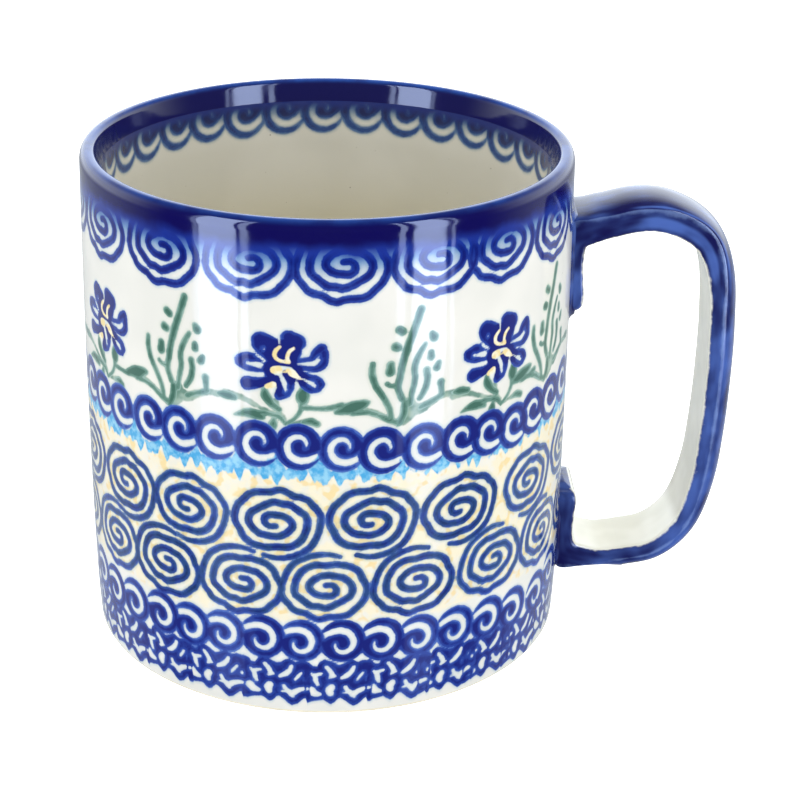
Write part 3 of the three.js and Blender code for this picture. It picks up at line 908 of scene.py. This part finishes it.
def painted_glaze():
    """White glaze with the pigments laid on one by one, then the sprayed navy of the rim."""
    nodes = Nodes(bpy.data.materials.new("painted_glaze"))
    glaze = nodes.mottle("e9e8e0", "e2e2da", 14.0)

    sand = nodes.value("sand")
    patch = nodes.ramp(nodes.ragged(sand, 3.0, 3.0), -0.6, 0.8)
    haze = nodes.ramp(nodes.noise(2.6, 2.0), 0.36, 0.6, 0.25, 1.0)
    spots = nodes.ramp(nodes.noise(2.0, 1.0), 0.54, 0.66)
    colour = nodes.mix(nodes.times(patch, haze), glaze, srgb("efe7cb"))
    colour = nodes.mix(nodes.times(patch, nodes.times(spots, 0.75)), colour, srgb("edd391"))

    fringe = nodes.ragged(nodes.value("sky"), 3.4, 1.5, 2.0, (1.0, 1.0, 0.45))
    colour = nodes.mix(nodes.ramp(fringe, -0.25, 0.25), colour, nodes.mottle("4fa6d8", "93cce6", 1.2))

    wash = nodes.ragged(nodes.value("wash"), 0.5, 1.2, 2.0)
    colour = nodes.mix(nodes.ramp(wash, -0.18, 0.22), colour, nodes.mottle("a3b8ab", "6f9184", 2.4))

    green = (srgb("e6efe6"), srgb("8fada3"), srgb("648a7d"), srgb("456b5e"))
    lush = nodes.math("MULTIPLY_ADD", nodes.noise(3.0), 0.9, -0.45)
    colour = pigment(nodes, colour, nodes.value("leaf"), 0.22, 0.13, green, lush, 0.75)

    uneven = nodes.math("MULTIPLY_ADD", nodes.noise(2.2), 0.7, -0.35)
    tone = nodes.math("ADD", nodes.math("MULTIPLY_ADD", nodes.value("tone"), 0.5, -0.25), uneven)
    tone = nodes.math("MULTIPLY_ADD", nodes.ramp(nodes.value("sun"), -1.6, -0.3), 0.8, tone)
    cobalt = (srgb("c6dcee"), srgb("4868b4"), srgb("2a4194"), srgb("1b2474"))
    before = colour
    colour = pigment(nodes, colour, nodes.value("cobalt"), 0.32, 0.12, cobalt, tone, 1.0)
    olive = (srgb("c9d8d8"), srgb("4f6e98"), srgb("2e4c7a"), srgb("22385c"))
    tinted = pigment(nodes, before, nodes.value("cobalt"), 0.32, 0.12, olive, tone, 1.0)
    mottled = nodes.ramp(nodes.noise(1.9, 2.0), 0.36, 0.58, 0.35, 1.0)
    over_sand = nodes.ramp(sand, 0.0, 2.0)
    colour = nodes.mix(nodes.times(mottled, nodes.times(over_sand, 0.8)), colour, tinted)

    heart = nodes.ragged(nodes.value("sun"), 0.2, 0.8)
    straw = nodes.mottle("f1ead0", "ead79c", 1.6, 2.0, 0.4, 0.6)
    colour = nodes.mix(nodes.ramp(heart, -0.1, 0.14), colour, straw)

    # The sprayed navy of the rim, thick on the lip and fading between the scrolls.
    misty = nodes.ragged(nodes.height(), 3.0, 5.0, 2.0)
    colour = nodes.mix(nodes.ramp(misty, 83.4, 87.8), colour, srgb("84acde"), "MULTIPLY")
    colour = nodes.mix(nodes.ramp(misty, 86.4, 89.6), colour, srgb("1f3694"))
    colour = nodes.mix(nodes.ramp(misty, 88.2, 91.0), colour, srgb("0f0c50"))

    # The glaze runs thin over the top of the lip, and is bluer there; the lighter band along the top is
    # partly a painted sheen.
    lip = nodes.value("lip")
    colour = nodes.mix(nodes.ramp(lip, 2.0, 1.0), colour, srgb("1c1c58"))
    top = nodes.times(nodes.ramp(lip, 0.0, 1.0), nodes.ramp(lip, 3.6, 1.5))
    thin_glaze_and_sheen = nodes.times(top, nodes.ramp(nodes.noise(6.0, 3.0), 0.3, 0.62, 0.35, 0.9))
    colour = nodes.mix(thin_glaze_and_sheen, colour, srgb("284f9e"))

    colour = nodes.specks(colour, "6b5a48", 2.6, 0.16, 0.05, 0.6)
    nodes.feed(nodes.shader, {"Base Color": colour})
    gloss(nodes, 0.05, 0.035)
    return nodes.owner


def cream_glaze():
    """Speckled cream, yellower further down, with blue curls and navy towards the lip."""
    nodes = Nodes(bpy.data.materials.new("cream_glaze"))
    height = nodes.height()
    base = nodes.mottle("e6e4d8", "dedccf", 20.0)
    base = nodes.mix(nodes.ramp(height, 80.0, 48.0), base, srgb("d6cda8"))
    base = nodes.specks(base, "8a8064", 1.3, 0.12, 0.22, 0.5)
    base = nodes.specks(base, "6f6248", 4.0, 0.22, 0.3, 0.6)
    uneven = nodes.math("MULTIPLY_ADD", nodes.noise(2.2), 0.9, -0.45)
    cobalt = (srgb("b4c8d6"), srgb("54749f"), srgb("2a4a86"), srgb("1a2a66"))
    colour = pigment(nodes, base, nodes.value("cobalt"), 0.24, 0.2, cobalt, uneven, 1.1)
    misty = nodes.ragged(height, 1.6, 3.0, 2.0)
    colour = nodes.mix(nodes.ramp(misty, 85.6, 89.0), colour, srgb("6a94c4"), "MULTIPLY")
    colour = nodes.mix(nodes.ramp(misty, 87.6, 89.6), colour, srgb("142a78"))
    nodes.feed(nodes.shader, {"Base Color": colour})
    gloss(nodes, 0.07, 0.03)
    return nodes.owner


def cobalt_glaze():
    """The handle's brushed cobalt, streaky and lighter where its glaze runs thin, with a painted highlight
    along its ridges, and pale towards the fingers.
    """
    nodes = Nodes(bpy.data.materials.new("cobalt_glaze"))
    along = nodes.value("along")
    ridge = nodes.value("ridge")
    pale = nodes.value("pale")
    # Brush streaks, three times as long as they are wide, that follow the strap.
    brushed = zip((along, nodes.value("across"), pale), (0.03, 0.09, 0.09))
    lengths = {axis: nodes.times(value, share) for axis, (value, share) in enumerate(brushed)}
    streak = {"Vector": nodes.add("CombineXYZ", lengths)[0], "Scale": 5.0, "Detail": 1.5}
    cloudy = nodes.times(nodes.add("TexNoise", streak)["Fac"], 0.55)
    cloudy = nodes.math("MULTIPLY_ADD", nodes.noise(8.0, 2.0), 0.7, cloudy)

    # Thinner glaze: mid-flank on the top bar, then along the ridge, and on the upper foot.
    top = nodes.times(nodes.ramp(along, 25, 31), nodes.ramp(along, 56, 46))
    flank = nodes.times(nodes.ramp(ridge, 0.35, -0.1), nodes.ramp(ridge, -1.15, -0.6))
    side = nodes.times(nodes.ramp(along, 58, 72), nodes.ramp(along, 124, 116))
    beside = nodes.ramp(ridge, -1.6, 0.0, 0.6, 1.0)
    foot = nodes.ramp(along, 11, 8)
    for zone, where, amount in ((top, flank, 0.26), (side, beside, 0.17), (foot, 1.0, 0.22)):
        cloudy = nodes.math("MULTIPLY_ADD", nodes.times(zone, where), amount, cloudy)
    blue = nodes.mix(nodes.ramp(cloudy, 0.47, 1.02), srgb("15154c"), srgb("4a66b0"))
    # A painted highlight: a thin pale line along the ridge, where the glaze also runs thin.
    thin_glaze_and_sheen = nodes.math("MULTIPLY_ADD", nodes.noise(3.0, 3.0), 1.2, nodes.math("SUBTRACT", ridge, 0.7))
    blue = nodes.mix(nodes.times(nodes.ramp(thin_glaze_and_sheen, 0.45, 1.0), 0.45), blue, srgb("7f9ad2"))
    cream = nodes.specks(nodes.mottle("f2f1e4", "e8e7d8", 9.0), "8d8168", 2.4, 0.16, 0.06, 0.5)
    colour = nodes.mix(nodes.ramp(nodes.ragged(pale, 0.3, 1.6, 2.0), -0.07, 0.1), blue, cream)
    nodes.feed(nodes.shader, {"Base Color": colour})
    gloss(nodes, 0.06, 0.04)
    return nodes.owner


def bare_stoneware():
    """Unglazed clay on the ring, with thin glaze on the hollow inside it and up the outer edge."""
    nodes = Nodes(bpy.data.materials.new("bare_stoneware"))
    clay = nodes.mottle("e2d6b8", "cdbf9d", 1.2, 4.0, 0.3, 0.7)
    clay = nodes.specks(clay, "8f7a58", 1.6, 0.2, 0.2, 0.6)
    glaze = nodes.mottle("f4eedb", "ece5cd", 8.0)
    glazed = nodes.ramp(nodes.ragged(nodes.value("glazed"), 0.3, 2.0, 2.0), -0.05, 0.1)
    roughness = nodes.ramp(glazed, 0.0, 1.0, 0.8, 0.12)
    nodes.feed(nodes.shader, {"Base Color": nodes.mix(glazed, clay, glaze), "Roughness": roughness})
    grain = nodes.times(nodes.noise(0.4, 3.0), nodes.math("SUBTRACT", 1.0, glazed))
    nodes.bump(grain, 0.05)
    return nodes.owner


# ---------------------------------------------------------------- studio

CAMERA_DISTANCE = 370.1  # level distance from the cup's axis
CAMERA_HEIGHT = 206.7
CAMERA_PITCH = 23.78
CAMERA_YAW = 2.15
CAMERA_ROLL = 0.99
CAMERA_LENS = 94.9
WHITE = (1.0, 1.0, 1.0, 1.0)
MIRROR_COLOUR = (0.88, 0.95, 1.0, 1.0)  # of the room as the glaze mirrors it
SOFT_LIGHT = (0.76, 1.6)  # the even light from all round, at the horizon and from above
PANEL_COLOUR = (0.56, 0.68, 1.0, 1.0)
# Each panel's bearing in degrees, its width in mm, and its glow high up and low down.
PANELS = [
    ("left_outer_strip", -58.5, 16, 4.0, 0.4), ("left_softbox", -47.9, 127, 11.8, 0.9),
    ("left_inner_strip", -35.5, 22, 7.0, 0.6), ("right_inner_strip", 31.3, 21, 7.0, 0.6),
    ("right_softbox", 44.2, 107, 11.8, 0.9), ("right_outer_strip", 55.2, 12, 6.0, 0.4),
]
PANEL_SOFT_SHARE = 0.06  # how much of the panels' glow counts as soft light
PANEL_DISTANCE = 400.0  # from the cup's axis, in mm
PANEL_SPAN = (-280, 420)  # heights of a panel's lower and upper edge, in mm
PANEL_FADE = (-145, -5)  # heights between which its glow grows, in mm
FLOOR_SIZE = 1500.0  # from the middle to each edge, in mm
FLOOR_GLOW = (0.36, 0.8)  # for the light it gives, and as the camera sees it


def build_camera():
    data = bpy.data.cameras.new("camera")
    data.lens = CAMERA_LENS
    data.sensor_width = 36.0
    camera = bpy.data.objects.new("camera", data)
    bpy.context.scene.collection.objects.link(camera)
    turn = (Matrix.Rotation(math.radians(-CAMERA_YAW), 4, "Z")
            @ Matrix.Rotation(math.radians(90 - CAMERA_PITCH), 4, "X")
            @ Matrix.Rotation(math.radians(CAMERA_ROLL), 4, "Z"))
    camera.matrix_world = Matrix.Translation((AXIS_X * MM, -CAMERA_DISTANCE * MM, CAMERA_HEIGHT * MM)) @ turn
    bpy.context.scene.camera = camera


def build_softbox(name, bearing, width, strong, weak):
    """An upright glowing panel that fades downwards, seen only in reflections and by the light it gives."""
    centre = math.radians(bearing)
    forward = np.array([math.sin(centre), -math.cos(centre)])
    side = np.array([-forward[1], forward[0]])
    rows = np.linspace(*PANEL_SPAN, 9)
    points = []
    for z in rows:
        for s in (-1, 1):
            x, y = forward * PANEL_DISTANCE + side * s * width / 2
            points.append((AXIS_X + x, y, z))
    faces = [(2 * k, 2 * k + 1, 2 * k + 3, 2 * k + 2) for k in range(len(rows) - 1)]
    panel = mesh_piece(name, points, faces)
    nodes = Nodes(bpy.data.materials.new(name), empty=True)
    glow = nodes.ramp(nodes.height(), *PANEL_FADE, weak, strong)
    glossy = nodes.add("LightPath")["Is Glossy Ray"]
    dim = nodes.add("MapRange", {"Value": glossy, "To Min": PANEL_SOFT_SHARE, "To Max": 1.0})[0]
    light = nodes.add("Emission", {"Color": PANEL_COLOUR, "Strength": nodes.times(dim, glow)})[0]
    nodes.add("OutputMaterial", {0: light})
    panel.data.materials.append(nodes.owner)
    panel.visible_camera = False
    panel.visible_shadow = False


def build_floor():
    """A white floor that glows a little for the camera, so that it looks the same all over."""
    size = FLOOR_SIZE
    floor = mesh_piece("floor", [(-size, -size, 0), (size, -size, 0), (size, size, 0), (-size, size, 0)],
                       [(0, 1, 2, 3)])
    nodes = Nodes(bpy.data.materials.new("floor"))
    seen = nodes.add("LightPath")["Is Camera Ray"]
    glow = nodes.add("MapRange", {"Value": seen, "To Min": FLOOR_GLOW[0], "To Max": FLOOR_GLOW[1]})[0]
    nodes.feed(nodes.shader, {"Base Color": (0.9, 0.9, 0.9, 1.0), "Roughness": 1.0, "Specular IOR Level": 0.0,
                              "Emission Color": WHITE, "Emission Strength": glow})
    floor.data.materials.append(nodes.owner)
    floor.visible_glossy = False


def build_world():
    """White all round for the camera and for soft light; darker in front for what the glaze mirrors."""
    bpy.context.scene.world = bpy.data.worlds.new("studio")
    nodes = Nodes(bpy.context.scene.world, empty=True)
    away = nodes.add("SeparateXYZ", {0: nodes.add("TexCoord")["Generated"]})
    ray = nodes.add("LightPath")
    even = nodes.ramp(away[2], 0.0, 0.9, *SOFT_LIGHT)
    behind = nodes.ramp(away[1], -0.3, 0.45, 0.02, 1.0)
    below = nodes.ramp(away[2], -0.25, 0.02, 0.28, 1.0)
    above = nodes.ramp(away[2], 0.25, 0.74, 2.2, 0.1)
    level = nodes.times(behind, nodes.times(below, above))
    soft = nodes.add("Background", {"Color": WHITE, "Strength": even})[0]
    bright = nodes.add("Background", {"Color": WHITE, "Strength": 1.0})[0]
    mirrored = nodes.add("Background", {"Color": MIRROR_COLOUR, "Strength": level})[0]
    glossy = nodes.add("MixShader", {0: ray["Is Glossy Ray"], 1: soft, 2: mirrored})[0]
    seen = nodes.add("MixShader", {0: ray["Is Camera Ray"], 1: glossy, 2: bright})[0]
    nodes.add("OutputWorld", {0: seen})


def build_studio():
    build_world()
    build_floor()
    for name, bearing, width, strong, weak in PANELS:
        build_softbox(name, bearing, width, strong, weak)
    bpy.context.scene.view_settings.view_transform = "Standard"


# ---------------------------------------------------------------- the whole scene

build_camera()
painted = painted_glaze()
cobalt = cobalt_glaze()
cream = cream_glaze()
ledge_end = build_outside(painted)
build_inside(cream, ledge_end)
build_foot(bare_stoneware())
build_handle(cobalt)
build_slip("upper_slip_bead", "upper_slip_joint", cobalt, **UPPER_SLIP)
build_slip("lower_slip_bead", "lower_slip_joint", cobalt, **LOWER_SLIP)
build_studio()
